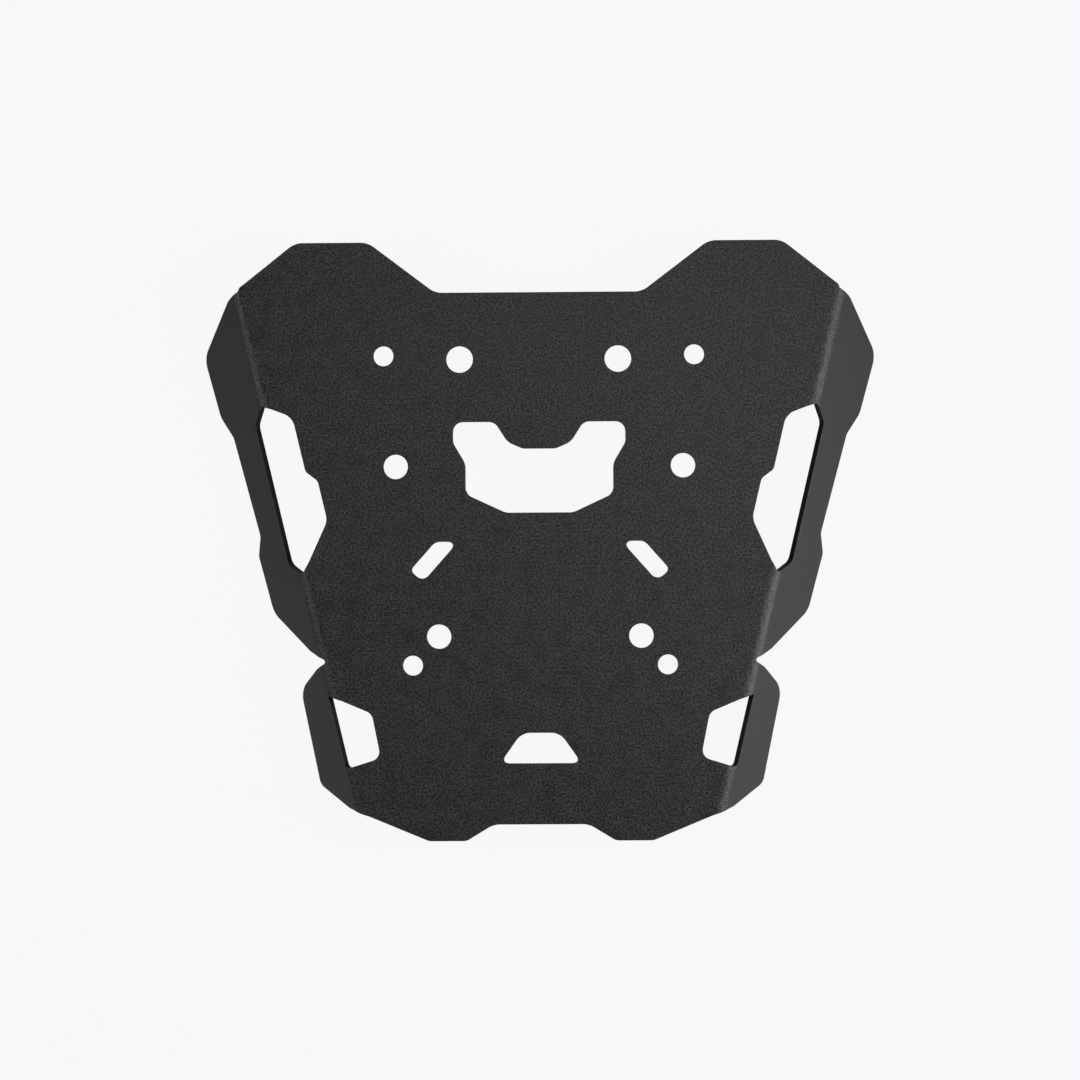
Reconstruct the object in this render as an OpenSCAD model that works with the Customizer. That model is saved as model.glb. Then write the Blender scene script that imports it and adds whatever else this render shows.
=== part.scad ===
// Motorcycle luggage rack: one laser-cut aluminium sheet with a wing folded down along each side.
// +Y points to the front of the rack, +Z up. The origin is on the surface that it stands on, midway.
// Places along the fold are measured from mid-length, positive towards the front.

/* [Sheet] */
// Thickness of the sheet
sheet_t = 3; // [2:0.5:5]
// Inside radius of the two folds
bend_r = 5; // [3:0.5:8]
// How far each wing is folded down from the deck
fold_angle = 45; // [25:1:60]
// Lean of each fold line, in towards the tail
fold_skew = 13.2; // [8:0.2:16]
// Width of the deck between the folds, at mid-length
deck_w = 212.8; // [205:0.2:225]
// Length of the rack, front to tail
rack_len = 269.8; // [264:0.1:280]

/* [Corners] */
// Radius of the blank's outer corners
corner_r = 4.5; // [1:0.1:6]
// Radius of the bolder corners on the wings and the front edge
bold_r = 9; // [2:0.5:12]
// Radius of the corners in the windows
window_r = 4.4; // [1:0.1:5]
// Radius of the bolder corners in the windows
window_bold_r = 7; // [2:0.5:9]
// Radius of the corners at the step in each side window
step_r = 3.4; // [1:0.1:4]
// Radius of the tight corners of the slots and windows
tip_r = 2.2; // [0.6:0.1:2.4]
// Radius of the pointed corners on the folds
fold_tip_r = 0.6; // [0.4:0.1:1.2]

/* [Front edge] */
// Clear width between the two ears at their front edge
ear_gap_w = 153.4; // [146:0.1:160]
// Straight front edge of each ear
ear_w = 32.9; // [28:0.1:36]
// Width of the straight stretch between the ears
bridge_w = 93.2; // [80:0.1:100]
// How far that stretch lies behind the ears
bridge_depth = 22.8; // [16:0.1:30]
// Place along the fold where the ear's outer slope ends
shoulder_at = 118.5; // [117.5:0.1:121]
// How far out on the fold that end lies
shoulder_out = 1.2; // [0.2:0.1:1.7]

/* [Tail edge] */
// Width of the tail edge
tail_w = 101; // [90:0.1:120]
// Width of the mouth of the tail recess
tail_recess_w = 67.3; // [60:0.1:76]
// Width of the floor of the tail recess
tail_recess_floor_w = 42.8; // [30:0.1:50]
// Depth of the tail recess
tail_recess_depth = 7.4; // [4:0.1:12]

/* [Front wing] */
// Place along the fold of the small step where the wing begins
wing_root_at = 116.9; // [115:0.1:117.2]
// How far out on the fold that step lies
wing_root_out = 2.1; // [1.9:0.1:4]
// Flat width of the wing at its shoulder
wing_shoulder_w = 3.7; // [2:0.1:7]
// Place of that shoulder
wing_shoulder_at = 114.3; // [110:0.1:114.8]
// Flat width at the nose, the wing's widest point
nose_w = 29.5; // [26:0.1:34]
// Place of the nose
nose_at = 92.9; // [84:0.1:98]
// Flat width at the rear end of the nose
nose_rear_w = 28; // [25:0.1:30]
// Place of that end
nose_rear_at = 64.7; // [60:0.1:72]
// Flat width of the waist beside the window's front end
waist_front_w = 22.5; // [19:0.1:24]
// Place of that point
waist_front_at = 54.2; // [45:0.1:58]
// Flat width of the waist beside the window's rear end
waist_rear_w = 20.3; // [17:0.1:22]
// Place of that point
waist_rear_at = 7.7; // [4:0.1:20]
// Flat width at the front of the heel
heel_front_w = 24.8; // [22.5:0.1:28]
// Place of that point
heel_front_at = -1; // [-6:0.1:2]
// Flat width at the rear of the heel
heel_rear_w = 23.6; // [20:0.1:26]
// Place of that point
heel_rear_at = -27.9; // [-34:0.1:-20]
// Flat width of the wing where its slant to the notch bends
notch_front_w = 5; // [3:0.1:8]
// Place of that bend
notch_front_at = -48.4; // [-50:0.1:-46]

/* [Tail wing] */
// Place along the fold of the notch between the two wings
notch_at = -54.8; // [-56:0.1:-53]
// Radius at the bottom of the notch
notch_r = 1.5; // [0.5:0.1:2]
// How far out on the fold the notch begins
notch_out = 1.2; // [0.6:0.1:3]
// Flat width of the wing where its slant from the notch bends
notch_rear_w = 3.5; // [2:0.1:6]
// Place of that bend
notch_rear_at = -57; // [-59:0.1:-56.5]
// Flat width of the tail wing at its front corner
tail_wing_front_w = 17.8; // [12:0.1:20]
// Place of that corner
tail_wing_front_at = -64.8; // [-70:0.1:-62]
// Flat width of the tail wing at its rear corner
tail_wing_rear_w = 19.8; // [15:0.1:22]
// Place of that corner
tail_wing_rear_at = -108.7; // [-114:0.1:-104]
// Flat widths of the wing at the two bends of its rear edge, beside the fold
tail_root_w = 4; // [2:0.1:8]
tail_slope_w = 0.7; // [0.4:0.1:1.8]
// Places of those two bends
tail_root_at = -121.4; // [-122.5:0.1:-120]
tail_slope_at = -123.1; // [-125:0.1:-122.6]

/* [Side windows] */
// How far out on the fold the pointed ends of these windows lie
points_out = 3.4; // [2:0.1:4.4]
// Places along the fold of the window's two pointed ends
side_win_front_at = 63.9; // [60:0.1:66]
side_win_rear_at = -13.8; // [-18:0.1:-8]
// How far the window reaches into the flat of the wing
side_win_wing_reach = 5.7; // [3:0.1:8]
// Places of its two corners on the wing
side_win_wing_front_at = 56.3; // [50:0.1:58]
side_win_wing_rear_at = -7.9; // [-10:0.1:0]
// How far it reaches into the deck along its front half
side_win_deck_front = 8.2; // [5:0.1:11]
// How far it reaches into the deck along its rear half
side_win_deck_rear = 12.6; // [11.5:0.1:18]
// Place of the deck side's front corner
side_win_deck_front_at = 56.1; // [50:0.1:60]
// Place of the deck side's rear corner
side_win_deck_rear_at = 7; // [0:0.1:15]
// Places where the step between the two halves begins and ends
side_win_step_front_at = 30.7; // [29:0.1:40]
side_win_step_rear_at = 25.5; // [20:0.1:28]

/* [Tail windows] */
// How far the window reaches into the deck, at its front and at its rear corner
tail_win_deck_front = 11.8; // [7:0.1:16]
tail_win_deck_rear = 11.1; // [7:0.1:16]
// How far it reaches into the flat of the wing
tail_win_wing = 0.3; // [0.3:0.1:3]
// Places of its front corners, on the deck and on the wing
tail_win_deck_front_at = -82.2; // [-88:0.1:-76]
tail_win_wing_front_at = -69.8; // [-72:0.1:-67]
// Places of its rear corners, on the deck and on the wing
tail_win_deck_rear_at = -102.7; // [-106:0.1:-96]
tail_win_wing_rear_at = -103.9; // [-107:0.1:-100]

/* [Handle window] */
// Front edge of the window's two lobes, ahead of mid-length
handle_front_y = 53.8; // [50:0.1:60]
// Rear edge of the window, ahead of mid-length
handle_rear_y = 12.9; // [8:0.1:18]
// Width across the outside of the lobes
handle_lobe_w = 77.6; // [72:0.1:84]
// Width between the lobes at their front edge
handle_lobe_gap = 40.2; // [32:0.1:44]
// How far back each lobe runs down the window's side
handle_lobe_len = 9.4; // [6:0.1:12]
// Width across the waist of the window
handle_waist_w = 66.5; // [60:0.1:71]
// How far back the waist begins
handle_waist_y = 35; // [32:0.1:40]
// Straight edge of the tongue between the lobes
tongue_w = 14.9; // [10:0.1:20]
// How far the tongue reaches back from the lobes' front edge
tongue_len = 12.1; // [8:0.1:16]
// Width of the tongue at the bend in its sides
tongue_side_w = 28.6; // [24:0.1:31]
// How far back that bend lies
tongue_side_len = 9.1; // [6:0.1:10.5]
// Width of the window's rear edge
handle_rear_w = 30.4; // [20:0.1:50]
// Length of its slanted rear corners
handle_rear_slant = 8.4; // [4:0.1:14]

/* [Tail centre window] */
// Front edge of the window, behind mid-length
centre_win_front_y = 86.3; // [80:0.1:90]
// Length of the window
centre_win_len = 13.8; // [8:0.1:18]
// Width of its front edge
centre_win_front_w = 17.2; // [12:0.1:26]
// Width of its rear edge
centre_win_rear_w = 36.8; // [30:0.1:46]

/* [Strap slots] */
// Width of each slanted slot
slot_w = 7.7; // [5:0.1:10]
// Length of each slot's outer edge
slot_len = 17.2; // [12:0.1:24]
// Angle of the slots from the front edge
slot_angle = 48.5; // [40:0.5:60]
// Radius of each slot's outer rear corner
slot_r = 3.6; // [1:0.1:3.6]
// Outer front corner of each slot, out from the middle
slot_x = 47.1; // [42:0.1:52]
// The same corner, ahead of mid-length
slot_y = -0.1; // [-5:0.1:5]

/* [Bolt holes] */
// Diameter of the small holes, clearance for M8
small_hole_d = 9; // [6.5:0.1:10]
// Diameter of the middle holes, clearance for M10
mid_hole_d = 11; // [8.5:0.1:12.5]
// Diameter of the large front holes
large_hole_d = 12; // [9:0.1:14]
// Spacing across the small front holes
small_front_spacing = 139.9; // [130:0.1:150]
// Their place, ahead of mid-length
small_front_y = 83.7; // [78:0.1:90]
// Spacing across the large front holes
large_front_spacing = 71.3; // [60:0.1:84]
// Their place, ahead of mid-length
large_front_y = 82; // [74:0.1:90]
// Spacing across the holes beside the handle window
side_hole_spacing = 129.4; // [110:0.1:140]
// Their place, ahead of mid-length
side_hole_y = 33.8; // [24:0.1:44]
// Spacing across the middle-sized rear holes
mid_rear_spacing = 91.1; // [80:0.1:96]
// Their place, ahead of mid-length
mid_rear_y = -42.8; // [-48:0.1:-36]
// Spacing across the small rear holes
small_rear_spacing = 114.8; // [106:0.1:124]
// Their place, ahead of mid-length
small_rear_y = -55.8; // [-66:0.1:-52]

/* [Hidden] */
$fn = 64;
// Widest step along a rounded corner, in degrees
arc_step = 12;
// Flat facets that each fold is drawn with
bend_steps = 12;
// How far the ends of the bent sheet reach into the flats that they join, and how far inside their faces
tuck = 0.2;
tuck_in = 0.01;
// Share of the thickness, from the inside, where the sheet keeps its length when it is folded
neutral = 0.4;
// Length of blank that one fold takes up
bend_len = fold_angle * PI / 180 * (bend_r + neutral * sheet_t);
half_len = rack_len / 2;
// Directions out across the fold and forward along it
fold_out = [cos(fold_skew), -sin(fold_skew)];
fold_along = [sin(fold_skew), cos(fold_skew)];

// A corner of the flat blank, from its distance out from where the fold begins and its place along it
function by_fold(out, at, r = 0) = concat([deck_w / 2, 0] + out * fold_out + at * fold_along, [r]);

// The same, from the flat width of the wing beyond the fold
function on_wing(w, at, r = 0) = by_fold(bend_len + w, at, r);

// Back from the blank to distances out and along
function in_fold(p) = let (q = [p.x - deck_w / 2, p.y]) [q * fold_out, q * fold_along];

// Points that round corner p, between its neighbours a and b, to the radius held in p[2]
function corner(a, p, b) =
    let (
        at = [p.x, p.y],
        to_a = [a.x, a.y] - at,
        to_b = [b.x, b.y] - at,
        in_a = to_a / norm(to_a),
        in_b = to_b / norm(to_b),
        half = acos(in_a * in_b) / 2,
        r = min(p[2], 0.48 * min(norm(to_a), norm(to_b)) * tan(half)),
        centre = at + (in_a + in_b) / norm(in_a + in_b) * r / sin(half),
        start = at + in_a * r / tan(half) - centre,
        turn = (180 - 2 * half) * sign(cross(start, at + in_b * r / tan(half) - centre)),
        n = ceil(abs(turn) / arc_step)
    )
    [for (i = [0:n]) let (t = turn * i / n) centre
        + [start.x * cos(t) - start.y * sin(t), start.x * sin(t) + start.y * cos(t)]];

// Rounds every corner of a closed outline of [x, y, r] that has a radius
function rounded(pts) =
    let (n = len(pts))
    [for (i = [0:n - 1]) each pts[i][2] > 0
        ? corner(pts[(i + n - 1) % n], pts[i], pts[(i + 1) % n])
        : [[pts[i].x, pts[i].y]]];

function reversed(pts) = [for (i = [len(pts) - 1:-1:0]) pts[i]];
function mirrored(pts) = [for (p = reversed(pts)) [-p.x, p.y]];

// Right half of the flat blank, from the middle of its front edge round to the middle of its tail
half_blank = rounded([
    [0, half_len - bridge_depth, 0],
    [bridge_w / 2, half_len - bridge_depth, bold_r],
    [ear_gap_w / 2, half_len, bold_r],
    [ear_gap_w / 2 + ear_w, half_len, bold_r],
    by_fold(shoulder_out, shoulder_at, tip_r),
    by_fold(wing_root_out, wing_root_at, 0),
    on_wing(wing_shoulder_w, wing_shoulder_at, bold_r),
    on_wing(nose_w, nose_at, bold_r),
    on_wing(nose_rear_w, nose_rear_at, bold_r),
    on_wing(waist_front_w, waist_front_at, corner_r),
    on_wing(waist_rear_w, waist_rear_at, corner_r),
    on_wing(heel_front_w, heel_front_at, corner_r),
    on_wing(heel_rear_w, heel_rear_at, bold_r),
    on_wing(notch_front_w, notch_front_at, corner_r),
    by_fold(notch_out, notch_at, notch_r),
    on_wing(notch_rear_w, notch_rear_at, corner_r),
    on_wing(tail_wing_front_w, tail_wing_front_at, bold_r),
    on_wing(tail_wing_rear_w, tail_wing_rear_at, corner_r),
    on_wing(tail_root_w, tail_root_at, corner_r),
    on_wing(tail_slope_w, tail_slope_at, 0),
    [tail_w / 2, -half_len, corner_r],
    [tail_recess_w / 2, -half_len, corner_r],
    [tail_recess_floor_w / 2, tail_recess_depth - half_len, bold_r],
    [0, tail_recess_depth - half_len, 0],
]);
half_in_fold = [for (p = half_blank) in_fold(p)];
function across_fold(pts) = [for (p = rounded(pts)) in_fold(p)];

// The two windows of each side that lie across the fold, in the fold's own directions
side_window = across_fold([
    by_fold(points_out, side_win_front_at, fold_tip_r),
    on_wing(side_win_wing_reach, side_win_wing_front_at, window_r),
    on_wing(side_win_wing_reach, side_win_wing_rear_at, window_r),
    by_fold(points_out, side_win_rear_at, fold_tip_r),
    by_fold(-side_win_deck_rear, side_win_deck_rear_at, window_bold_r),
    by_fold(-side_win_deck_rear, side_win_step_rear_at, step_r),
    by_fold(-side_win_deck_front, side_win_step_front_at, step_r),
    by_fold(-side_win_deck_front, side_win_deck_front_at, window_bold_r),
]);
tail_window = across_fold([
    on_wing(tail_win_wing, tail_win_wing_front_at, fold_tip_r),
    on_wing(tail_win_wing, tail_win_wing_rear_at, tip_r),
    by_fold(-tail_win_deck_rear, tail_win_deck_rear_at, window_r),
    by_fold(-tail_win_deck_front, tail_win_deck_front_at, window_r),
]);

// The windows of the deck that lie across the middle, right half first
handle_half = [
    [tongue_w / 2, handle_front_y - tongue_len, window_r],
    [tongue_side_w / 2, handle_front_y - tongue_side_len, window_bold_r],
    [handle_lobe_gap / 2, handle_front_y, window_r],
    [handle_lobe_w / 2, handle_front_y, window_r],
    [handle_lobe_w / 2, handle_front_y - handle_lobe_len, window_r],
    [handle_waist_w / 2, handle_waist_y, window_bold_r],
    [handle_waist_w / 2, handle_rear_y + handle_rear_slant, window_r],
    [handle_rear_w / 2, handle_rear_y, window_bold_r],
];
centre_win_half = [
    [centre_win_front_w / 2, -centre_win_front_y, window_bold_r],
    [centre_win_rear_w / 2, -centre_win_front_y - centre_win_len, tip_r],
];
function whole(half) = concat(half, [for (p = reversed(half)) [-p.x, p.y, p[2]]]);

// Slanted slot: its front end follows the front edge, its rear end is square with a bold outer corner
slot_dir = [cos(slot_angle), -sin(slot_angle)];
slot_in = [-sin(slot_angle), -cos(slot_angle)];
slot_front = [slot_x, slot_y];
slot_outline = rounded([
    concat(slot_front, [window_r]),
    concat(slot_front + slot_len * slot_dir, [tip_r]),
    concat(slot_front + slot_len * slot_dir + slot_w * slot_in, [slot_r]),
    concat(slot_front - [slot_w / sin(slot_angle), 0], [tip_r]),
]);

// Each pair of holes as [spacing, place, diameter]
hole_pairs = [
    [small_front_spacing, small_front_y, small_hole_d],
    [large_front_spacing, large_front_y, large_hole_d],
    [side_hole_spacing, side_hole_y, mid_hole_d],
    [mid_rear_spacing, mid_rear_y, mid_hole_d],
    [small_rear_spacing, small_rear_y, small_hole_d],
];

// Height of the deck's underside over the surface that the wings' noses stand on
wing_reach = max([for (p = half_in_fold) p.x]) - bend_len;
deck_z = bend_r * (1 - cos(fold_angle)) + wing_reach * sin(fold_angle);

// Places where an outline crosses the line that lies out from where the fold begins
function crossings(pts, out) =
    [for (i = [0:len(pts) - 2])
        let (a = pts[i], b = pts[i + 1])
        if ((a.x < out) != (b.x < out)) a.y + (b.y - a.y) * (out - a.x) / (b.x - a.x)];

// Front and rear end of a window on that line
function window_ends(window, out) =
    let (c = crossings(concat(window, [window[0]]), out))
    [max(c), min(c)];

// The window's edge on one side of that line, from the rear end to the front end for the wing's side,
// and from the front end to the rear end for the deck's side
function window_edge(window, out, side) =
    let (
        n = len(window),
        ends = window_ends(window, out),
        far = [for (p = window) side * (p.x - out) > 0],
        start = [for (i = [0:n - 1]) if (far[i] && !far[(i + n - 1) % n]) i][0],
        run = [for (i = [0:n - 1]) let (k = (start + i) % n) if (far[k]) window[k]],
        edge = concat([[out, ends[0]]], side > 0 ? run : reversed(run), [[out, ends[1]]])
    )
    side > 0 ? reversed(edge) : edge;

// Ends of the four stretches of sheet that cross the fold, front to tail, at one line along it
function stretches(out, inside) =
    let (
        edge = crossings(half_in_fold, out),
        side = window_ends(side_window, out),
        tail = window_ends(tail_window, out),
        split = len(edge) > 2
    )
    [
        [edge[0] - inside, side[0] + inside],
        [side[1] - inside, split ? edge[1] + inside : notch_at],
        [split ? edge[2] - inside : notch_at, tail[0] + inside],
        [tail[1] - inside, edge[len(edge) - 1] + inside],
    ];

// Outlines of the two flat wings, from where the fold ends
wing_edge = crossings(half_in_fold, bend_len);
front_wing = concat(
    [[bend_len, wing_edge[0]]],
    [for (p = half_in_fold) if (p.x > bend_len && p.y > notch_at) p],
    [[bend_len, wing_edge[1]]],
    window_edge(side_window, bend_len, 1)
);
tail_wing = concat(
    [[bend_len, wing_edge[2]]],
    [for (p = half_in_fold) if (p.x > bend_len && p.y < notch_at) p],
    [[bend_len, wing_edge[3]]],
    window_edge(tail_window, bend_len, 1)
);

// Right half of the deck's outline, up to where the fold begins
deck_edge = crossings(half_in_fold, 0);
half_deck_in_fold = concat(
    [for (p = half_in_fold) if (p.x < 0 && p.y > 0) p],
    [[0, deck_edge[0]]],
    window_edge(side_window, 0, -1),
    window_edge(tail_window, 0, -1),
    [[0, deck_edge[1]]],
    [for (p = half_in_fold) if (p.x < 0 && p.y < 0) p]
);
half_deck = [for (p = half_deck_in_fold) let (q = by_fold(p.x, p.y)) [q.x, q.y]];

// Distances out from where the fold begins at which the bent sheet has a section
bend_outs = concat(-tuck, [for (j = [1:bend_steps - 1]) bend_len * j / bend_steps], bend_len + tuck);

// Section of one stretch of sheet at such a distance: top and underside at both of its ends
function bend_section(k, out) =
    let (
        bent = max(0, min(out, bend_len)),
        angle = fold_angle * bent / bend_len,
        inside = out == bent ? 0 : tuck_in,
        ends = stretches(out, inside)[k]
    )
    [for (h = [sheet_t - inside, inside]) for (at = ends)
        [(bend_r + h) * sin(angle) + (out - bent) * cos(angle), at,
            (bend_r + h) * cos(angle) - bend_r - (out - bent) * sin(angle)]];

module bend_stretch(k) {
    pts = [for (out = bend_outs) each bend_section(k, out)];
    last = 4 * bend_steps;
    ring = [0, 1, 3, 2];
    sides = [for (j = [0:bend_steps - 1]) for (i = [0:3])
        let (a = 4 * j + ring[i], b = 4 * j + ring[(i + 1) % 4])
        each [[a, a + 4, b + 4], [a, b + 4, b]]];
    polyhedron(pts, concat([[0, 1, 3, 2]], sides, [[last, last + 2, last + 3, last + 1]]));
}

// Moves its children from the fold's own frame, x out and y along, to the right side of the deck
module at_fold() {
    translate([deck_w / 2, 0, 0]) rotate([0, 0, -fold_skew]) children();
}

module wing(outline) {
    translate([0, 0, -bend_r])
        rotate([0, fold_angle, 0])
            translate([-bend_len, 0, bend_r])
                linear_extrude(sheet_t) polygon(outline);
}

module deck() {
    linear_extrude(sheet_t)
        difference() {
            polygon(concat(half_deck, mirrored(half_deck)));
            polygon(rounded(whole(handle_half)));
            polygon(rounded(whole(centre_win_half)));
            for (side = [0, 1]) mirror([side, 0]) polygon(slot_outline);
        }
}

module bolt_holes() {
    for (h = hole_pairs, side = [-1, 1])
        translate([side * h[0] / 2, h[1], -sheet_t]) cylinder(h = 3 * sheet_t, d = h[2]);
}

module rack_plate() {
    color("#2f2f30") translate([0, 0, deck_z]) {
        difference() {
            deck();
            bolt_holes();
        }
        for (side = [0, 1]) mirror([side, 0, 0]) at_fold() {
            for (k = [0:3]) bend_stretch(k);
            wing(front_wing);
            wing(tail_wing);
        }
    }
}

rack_plate();
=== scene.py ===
import math

import bmesh
import bpy
from mathutils import Matrix, Vector


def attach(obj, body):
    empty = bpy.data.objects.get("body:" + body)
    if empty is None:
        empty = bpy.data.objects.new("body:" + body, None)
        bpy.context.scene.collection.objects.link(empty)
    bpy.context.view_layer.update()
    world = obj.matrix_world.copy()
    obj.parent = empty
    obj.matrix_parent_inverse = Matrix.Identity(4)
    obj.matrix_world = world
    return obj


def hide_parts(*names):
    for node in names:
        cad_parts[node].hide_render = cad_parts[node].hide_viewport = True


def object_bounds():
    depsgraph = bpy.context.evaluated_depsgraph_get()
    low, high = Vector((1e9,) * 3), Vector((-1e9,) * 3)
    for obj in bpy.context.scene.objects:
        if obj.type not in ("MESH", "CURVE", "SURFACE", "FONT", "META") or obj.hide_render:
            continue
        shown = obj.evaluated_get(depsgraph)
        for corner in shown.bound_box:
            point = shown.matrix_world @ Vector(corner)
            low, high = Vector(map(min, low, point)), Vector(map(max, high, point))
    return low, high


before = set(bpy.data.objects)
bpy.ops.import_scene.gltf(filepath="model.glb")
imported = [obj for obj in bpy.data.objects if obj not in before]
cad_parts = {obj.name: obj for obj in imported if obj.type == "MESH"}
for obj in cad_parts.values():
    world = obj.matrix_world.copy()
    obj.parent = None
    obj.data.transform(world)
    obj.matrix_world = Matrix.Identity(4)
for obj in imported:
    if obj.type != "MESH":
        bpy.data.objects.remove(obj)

cad_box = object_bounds()

# The flat blank of the rack: one 3 mm aluminium sheet, cut to its outline on a laser together
# with its windows, strap slots and bolt holes, while it is still flat. All sizes here are in mm,
# with +Y to the front of the rack and the middle of the deck at x = 0, y = 0.
sheet_thickness = 3
rack_length = 269.8
deck_width = 212.8
fold_angle = math.radians(45)
fold_lean = math.radians(13.2)
fold_radius = 5
neutral_line = 0.4
fold_flat_width = fold_angle * (fold_radius + neutral_line * sheet_thickness)
fold_start = Vector((deck_width / 2, 0))
fold_out = Vector((math.cos(fold_lean), -math.sin(fold_lean)))
fold_along = Vector((math.sin(fold_lean), math.cos(fold_lean)))
front, tail = rack_length / 2, -rack_length / 2
corner_steps = 6
hole_steps = 64

blank = bmesh.new()


def at_fold(out, along, radius=0):
    """A corner measured out from where the right fold starts and along it, as x, y and corner radius."""
    spot = fold_start + out * fold_out + along * fold_along
    return spot.x, spot.y, radius


def on_wing(width, along, radius=0):
    """The same, with the flat width of the wing beyond the fold."""
    return at_fold(fold_flat_width + width, along, radius)


def other_side(corners):
    """The same corners on the left of the rack, in the order that carries on round the outline."""
    return [(-x, y, radius) for x, y, radius in reversed(corners)]


def laser_cut(corners):
    """One closed cut: straight runs between the corners, and each corner rounded to its radius."""
    points = [blank.verts.new((x, y, 0)) for x, y, radius in corners]
    for here, there in zip(points, points[1:] + points[:1]):
        blank.edges.new((here, there))
    for point, (x, y, radius) in zip(points, corners):
        if radius:
            back, ahead = (edge.other_vert(point).co - point.co for edge in point.link_edges)
            reach = radius / math.tan(back.angle(ahead) / 2)
            bmesh.ops.bevel(blank, geom=[point], offset=reach, offset_type='OFFSET',
                            segments=corner_steps, profile=0.5, affect='VERTICES', material=-1)


outline = [
    (46.6, front - 22.8, 9), (76.7, front, 9), (109.6, front, 9), at_fold(1.2, 118.5, 2.2),
    at_fold(2.1, 116.9), on_wing(3.7, 114.3, 9), on_wing(29.5, 92.9, 9), on_wing(28, 64.7, 9),
    on_wing(22.5, 54.2, 4.5), on_wing(20.3, 7.7, 4.5), on_wing(24.8, -1, 4.5),
    on_wing(23.6, -27.9, 9), on_wing(5, -48.4, 4.5), at_fold(1.2, -54.8, 1.5),
    on_wing(3.5, -57, 4.5), on_wing(17.8, -64.8, 9), on_wing(19.8, -108.7, 4.5),
    on_wing(4, -121.4, 4.5), on_wing(0.7, -123.1), (50.5, tail, 4.5), (33.65, tail, 4.5),
    (21.4, tail + 7.4, 9),
]
laser_cut(outline + other_side(outline))

side_window = [
    at_fold(3.4, 63.9, 0.6), on_wing(5.7, 56.3, 4.4), on_wing(5.7, -7.9, 4.4),
    at_fold(3.4, -13.8, 0.6), at_fold(-12.6, 7, 7), at_fold(-12.6, 25.5, 3.4),
    at_fold(-8.2, 30.7, 3.4), at_fold(-8.2, 56.1, 7),
]
tail_window = [
    on_wing(0.3, -69.8, 0.6), on_wing(0.3, -103.9, 2.2),
    at_fold(-11.1, -102.7, 4.4), at_fold(-11.8, -82.2, 4.4),
]
slot_length, slot_width = 17.2, 7.7
slot_turn = math.radians(48.5)
slot_run = Vector((math.cos(slot_turn), -math.sin(slot_turn)))
slot_across = Vector((-math.sin(slot_turn), -math.cos(slot_turn)))
slot_front = Vector((47.1, -0.1))
slot_rear = slot_front + slot_length * slot_run
strap_slot = [
    (*slot_front, 4.4), (*slot_rear, 2.2), (*(slot_rear + slot_width * slot_across), 3.6),
    (slot_front.x - slot_width / math.sin(slot_turn), slot_front.y, 2.2),
]
for window in (side_window, tail_window, strap_slot):
    laser_cut(window)
    laser_cut(other_side(window))

handle_window = [
    (7.45, 41.7, 4.4), (14.3, 44.7, 7), (20.1, 53.8, 4.4), (38.8, 53.8, 4.4), (38.8, 44.4, 4.4),
    (33.25, 35, 7), (33.25, 21.3, 4.4), (15.2, 12.9, 7),
]
tail_middle_window = [(8.6, -86.3, 7), (18.4, -100.1, 2.2)]
for window in (handle_window, tail_middle_window):
    laser_cut(window + other_side(window))

# Bolt holes, each pair as half its spacing, its place and its radius: 9 mm clears an M8 bolt,
# 11 mm an M10 bolt, and the two of 12 mm at the front take a bush.
bolt_holes = [
    (69.95, 83.7, 4.5), (35.65, 82, 6), (64.7, 33.8, 5.5), (45.55, -42.8, 5.5), (57.4, -55.8, 4.5),
]
for x, y, radius in bolt_holes:
    for side in (1, -1):
        bmesh.ops.create_circle(blank, segments=hole_steps, radius=radius,
                                matrix=Matrix.Translation((side * x, y, 0)))

bmesh.ops.triangle_fill(blank, use_beauty=True, edges=blank.edges[:])
top = bmesh.ops.extrude_face_region(blank, geom=blank.faces[:])["geom"]
top_points = [part for part in top if isinstance(part, bmesh.types.BMVert)]
bmesh.ops.translate(blank, vec=(0, 0, sheet_thickness), verts=top_points)
bmesh.ops.recalc_face_normals(blank, faces=blank.faces[:])

# The cut edges: deburred after cutting, so the coat runs round a small radius on both faces.
edge_radius = 0.3
edge_steps = 3
sharp_angle = 1
rims = [edge for edge in blank.edges
        if edge.verts[0].co.z == edge.verts[1].co.z and edge.calc_face_angle() > sharp_angle]
bmesh.ops.bevel(blank, geom=rims, offset=edge_radius, offset_type='OFFSET', segments=edge_steps,
                profile=0.5, affect='EDGES', material=-1)

# The cut walls: they get a material of their own below, coloured nearly black as painted shade.
cut_wall_slot, upright = 1, 0.1
for face in blank.faces:
    if abs(face.normal.z) < upright:
        face.material_index = cut_wall_slot

# The two folds: the sheet is pressed down 45 degrees along a slanting line on each side. Creases
# are laid across the blank where each fold will be, and then all that lies beyond is bent round.
fold_creases = 16
crease_tolerance = 1e-4
for side in (1, -1):
    for crease in range(fold_creases + 1):
        line = fold_start + fold_flat_width * crease / fold_creases * fold_out
        bmesh.ops.bisect_plane(blank, geom=blank.verts[:] + blank.edges[:] + blank.faces[:],
                               dist=crease_tolerance, plane_co=(side * line.x, line.y, 0),
                               plane_no=(side * fold_out.x, fold_out.y, 0))
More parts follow.
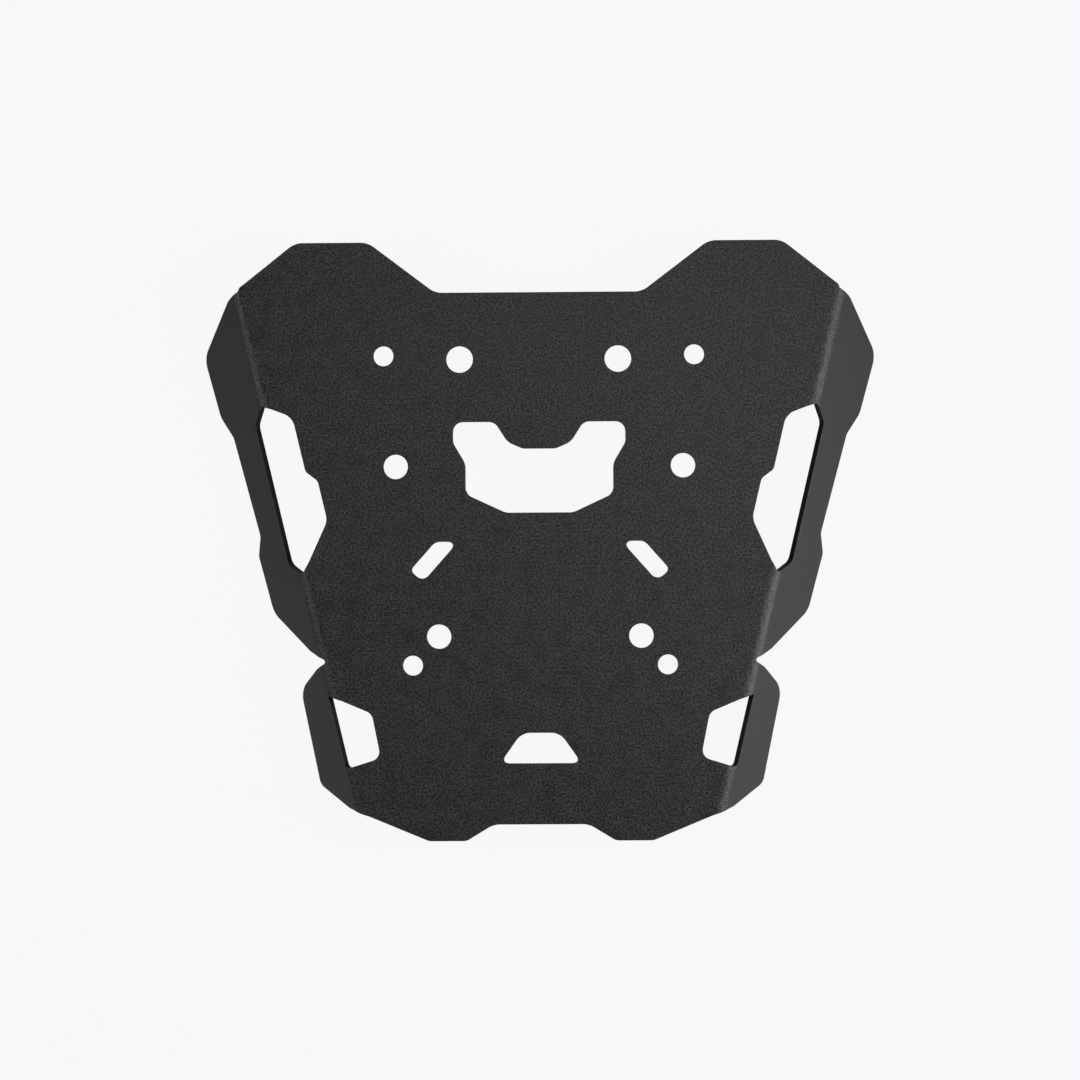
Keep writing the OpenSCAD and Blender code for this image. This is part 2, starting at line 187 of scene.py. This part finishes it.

# Each point is bent, and told how the coat lies there: the sand texture fades out over the last
# quarter of a fold, and each wing is painted from dark at the front to lighter at the tail, as painted
# shade and painted light.
sand_left = blank.verts.layers.float.new("sand_left")
painted_light_on_wings = blank.verts.layers.float.new("painted_light_on_wings")
wing_sand, fade_start = 0.12, 0.75
front_shade_painted, tail_light_painted = 0.28, 1.65
for point in blank.verts:
    side = math.copysign(1, point.co.x)
    flat = Vector((abs(point.co.x), point.co.y)) - fold_start
    out, along, height = flat.dot(fold_out), flat.dot(fold_along), point.co.z
    fade = (out / fold_flat_width - fade_start) / (1 - fade_start)
    point[sand_left] = 1 - (1 - wing_sand) * min(max(fade, 0), 1)
    # Painted light and shade on a wing: painted shade at its front, painted light at its tail.
    forward = min(max((along - tail) / rack_length, 0), 1)
    wing_painted_light = tail_light_painted + (front_shade_painted - tail_light_painted) * forward
    point[painted_light_on_wings] = 1 + (wing_painted_light - 1) * min(max(out / fold_flat_width, 0), 1)
    if out > 0:
        turn = fold_angle * min(out / fold_flat_width, 1)
        beyond = max(out - fold_flat_width, 0)
        reach = (fold_radius + height) * math.sin(turn) + beyond * math.cos(turn)
        drop = fold_radius - (fold_radius + height) * math.cos(turn) + beyond * math.sin(turn)
        spot = fold_start + reach * fold_out + along * fold_along
        point.co = (side * spot.x, spot.y, -drop)

# The finished plate: it stands on the noses of its wings, as the CAD plate does.
mm = 0.001
deck_underside = cad_box[1].z - sheet_thickness * mm
bmesh.ops.scale(blank, vec=(mm, mm, mm), verts=blank.verts[:])
bmesh.ops.translate(blank, vec=(0, 0, deck_underside), verts=blank.verts[:])
bmesh.ops.recalc_face_normals(blank, faces=blank.faces[:])
for face in blank.faces:
    face.smooth = True
sheet = bpy.data.meshes.new("rack_sheet")
blank.to_mesh(sheet)
blank.free()
rack = bpy.data.objects.new("rack_sheet", sheet)
bpy.context.collection.objects.link(rack)
rack.modifiers.new("flats stay flat", 'WEIGHTED_NORMAL')
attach(rack, "root")
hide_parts("rack_plate")

# Powder coat: black polyester powder with a fine sand texture, sprayed on and baked. It gives the
# eye a matt charcoal with a fine grain, which glints where a light grazes it on the folds. On the
# wings it also carries painted shade at the front and painted light at the tail.


def hex_colour(code):
    """An sRGB colour as linear red, green, blue and alpha."""
    values = [int(code[i:i + 2], 16) / 255 for i in (1, 3, 5)]
    return [v / 12.92 if v <= 0.04045 else ((v + 0.055) / 1.055) ** 2.4 for v in values] + [1]


def add_node(material, kind, settings=None, inputs=None, links=None):
    """Adds one node with its settings and input values, and links sockets of others into it."""
    node = material.node_tree.nodes.new("ShaderNode" + kind)
    for name, value in (settings or {}).items():
        setattr(node, name, value)
    for name, value in (inputs or {}).items():
        node.inputs[name].default_value = value
    for name, socket in (links or {}).items():
        material.node_tree.links.new(socket, node.inputs[name])
    return node


def new_material(name):
    """An empty node material with its output node."""
    material = bpy.data.materials.new(name)
    material.use_nodes = True
    material.node_tree.nodes.clear()
    return material, add_node(material, "OutputMaterial")


coat, coat_output = new_material("black_powder_coat_with_painted_wing_light")
place = add_node(coat, "TexCoord").outputs["Object"]

# The sand grains: drawn at 0.9 mm, coarser than the real ones of about 0.2 mm, because the grain
# would not show from a step away. They give the eye the fine speckle of the deck, and soft clouds
# of 8 mm keep that speckle from looking printed.
grain_size, drift_size = 0.0009, 0.008
sand_height = 0.0004
noise_middle = 0.5
cloud_depth = 0.055
lightest_tone = 0.07
middle_tone = lightest_tone / 2
grain = add_node(coat, "TexNoise", inputs={"Scale": 1 / grain_size, "Detail": 3, "Roughness": 0.7},
                 links={"Vector": place})
drift = add_node(coat, "TexNoise", inputs={"Scale": 1 / drift_size, "Detail": 2},
                 links={"Vector": place})
kept = add_node(coat, "Attribute", settings={"attribute_name": "sand_left"})
relief = add_node(coat, "Math", settings={"operation": 'SUBTRACT'}, inputs={1: noise_middle},
                  links={0: grain.outputs["Fac"]})
patches = add_node(coat, "Math", settings={"operation": 'MULTIPLY'},
                   links={0: drift.outputs["Fac"], 1: kept.outputs["Fac"]})
sand = add_node(coat, "Math", settings={"operation": 'MULTIPLY'},
                links={0: relief.outputs[0], 1: patches.outputs[0]})
# The painted light and shade of the wings moves the coat's tone darker or lighter; on the deck it stays
# at the middle tone.
painted_light_level = add_node(coat, "Attribute", settings={"attribute_name": "painted_light_on_wings"})
clouds = add_node(coat, "Math", settings={"operation": 'SUBTRACT'}, inputs={1: noise_middle},
                  links={0: drift.outputs["Fac"]})
clouded = add_node(coat, "Math", settings={"operation": 'MULTIPLY'},
                   links={0: clouds.outputs[0], 1: kept.outputs["Fac"]})
clouded_sand = add_node(coat, "Math", settings={"operation": 'MULTIPLY_ADD'},
                        inputs={1: cloud_depth}, links={0: clouded.outputs[0], 2: sand.outputs[0]})
tone = add_node(coat, "Math", settings={"operation": 'MULTIPLY_ADD'}, inputs={1: middle_tone},
                links={0: painted_light_level.outputs["Fac"], 2: clouded_sand.outputs[0]})
shade = add_node(coat, "ValToRGB", links={"Fac": tone.outputs[0]})
shade.color_ramp.elements[0].position = 0
shade.color_ramp.elements[0].color = hex_colour("#090909")
shade.color_ramp.elements[1].position = lightest_tone
shade.color_ramp.elements[1].color = hex_colour("#333333")
bumps = add_node(coat, "Bump", inputs={"Strength": 1, "Distance": sand_height},
                 links={"Height": sand.outputs[0]})
surface = add_node(coat, "BsdfPrincipled",
                   inputs={"Roughness": 0.32, "IOR": 1.5, "Specular IOR Level": 0.2},
                   links={"Base Color": shade.outputs["Color"], "Normal": bumps.outputs["Normal"]})
coat.node_tree.links.new(surface.outputs["BSDF"], coat_output.inputs["Surface"])
sheet.materials.append(coat)

# The cut walls: coloured nearly black under a faint grain, as painted shade on the walls of the cuts.
cut_wall_painted_shade, wall_output = new_material("painted_shade_on_cut_walls")
wall_place = add_node(cut_wall_painted_shade, "TexCoord").outputs["Object"]
wall_grain = add_node(cut_wall_painted_shade, "TexNoise", inputs={"Scale": 1 / grain_size, "Detail": 1},
                      links={"Vector": wall_place})
wall_shade = add_node(cut_wall_painted_shade, "ValToRGB", links={"Fac": wall_grain.outputs["Fac"]})
wall_shade.color_ramp.elements[0].position = 0.3
wall_shade.color_ramp.elements[0].color = hex_colour("#030303")
wall_shade.color_ramp.elements[1].position = 0.7
wall_shade.color_ramp.elements[1].color = hex_colour("#0c0c0c")
wall_surface = add_node(cut_wall_painted_shade, "BsdfPrincipled",
                        inputs={"Roughness": 0.6, "IOR": 1.5, "Specular IOR Level": 0.1},
                        links={"Base Color": wall_shade.outputs["Color"]})
cut_wall_painted_shade.node_tree.links.new(wall_surface.outputs["BSDF"], wall_output.inputs["Surface"])
sheet.materials.append(cut_wall_painted_shade)

# The studio floor: a smooth white sweep under the rack. Seen by the camera it is evenly pale,
# and it keeps a faint shadow of the rack.
floor_reach = 6
own_light = 0.985
floor_mesh = bmesh.new()
bmesh.ops.create_grid(floor_mesh, x_segments=1, y_segments=1, size=floor_reach)
floor_data = bpy.data.meshes.new("studio_floor")
floor_mesh.to_mesh(floor_data)
floor_mesh.free()
floor = bpy.data.objects.new("studio_floor", floor_data)
bpy.context.collection.objects.link(floor)
paper, paper_output = new_material("white_backdrop_paper")
pale = hex_colour("#f7f8fa")
matt = add_node(paper, "BsdfDiffuse", inputs={"Color": pale})
glow = add_node(paper, "Emission", inputs={"Color": pale, "Strength": 1})
ray = add_node(paper, "LightPath")
direct = add_node(paper, "Math", settings={"operation": 'MAXIMUM'},
                  links={0: ray.outputs["Is Camera Ray"], 1: ray.outputs["Is Transmission Ray"]})
either = add_node(paper, "Math", settings={"operation": 'MAXIMUM'},
                  links={0: direct.outputs[0], 1: ray.outputs["Is Glossy Ray"]})
seen = add_node(paper, "Math", settings={"operation": 'MULTIPLY'}, inputs={1: own_light},
                links={0: either.outputs[0]})
blend = add_node(paper, "MixShader", links={0: seen.outputs[0], 1: matt.outputs[0], 2: glow.outputs[0]})
paper.node_tree.links.new(blend.outputs[0], paper_output.inputs["Surface"])
floor_data.materials.append(paper)

# The studio: white walls all round, and soft boxes beside and above the rack.
world = bpy.data.worlds.new("white_studio")
bpy.context.scene.world = world
world.use_nodes = True
walls = world.node_tree.nodes["Background"]
walls.inputs["Color"].default_value = (1, 1, 1, 1)
walls.inputs["Strength"].default_value = 0.1
aim_height = 0.02


def soft_box(name, turn, tilt, distance, size, watts):
    """A square soft box aimed at the rack: turned from its right and tilted from overhead, in degrees."""
    turning = Matrix.Rotation(math.radians(turn), 4, 'Z')
    tilting = Matrix.Rotation(math.radians(tilt), 4, 'Y')
    lamp = bpy.data.lights.new(name, 'AREA')
    lamp.size = size
    lamp.energy = watts
    box = bpy.data.objects.new(name, lamp)
    box.matrix_world = (Matrix.Translation((0, 0, aim_height)) @ turning @ tilting
                        @ Matrix.Translation((0, 0, distance)))
    bpy.context.collection.objects.link(box)


soft_box("right_soft_box", 0, 60, 1.8, 0.8, 10.8)
soft_box("right_high_box", 0, 50, 0.8, 0.2, 1.7)
soft_box("right_low_box", 0, 80, 1, 0.3, 1.3)
soft_box("right_strip", 345, 70, 0.5, 0.2, 1.03)
soft_box("left_soft_box", 180, 60, 0.8, 0.36, 2.2)
soft_box("overhead_right_box", 0, 20, 0.8, 0.36, 0.96)
soft_box("overhead_front_box", 90, 20, 0.8, 0.36, 1)
soft_box("overhead_left_box", 225, 20, 0.8, 0.36, 0.3)

# The camera looks down on the middle of the rack, a degree off to its right, and turned 0.33 degrees.
view_distance = 1.5
view_tilt = math.radians(1)
view_turn = math.radians(-0.33)
view_right, view_ahead = 0.00015, 0.0005
frame_width = 0.486
lens = bpy.data.cameras.new("camera")
lens.sensor_width = 36
lens.lens = lens.sensor_width * view_distance / frame_width
lens.clip_end = 20
camera = bpy.data.objects.new("camera", lens)
camera.rotation_mode = 'ZYX'
camera.rotation_euler = (0, view_tilt, view_turn)
camera.location = (view_right + view_distance * math.sin(view_tilt), view_ahead,
                   cad_box[1].z + view_distance * math.cos(view_tilt))
bpy.context.collection.objects.link(camera)
bpy.context.scene.camera = camera
bpy.context.scene.view_settings.view_transform = 'Standard'
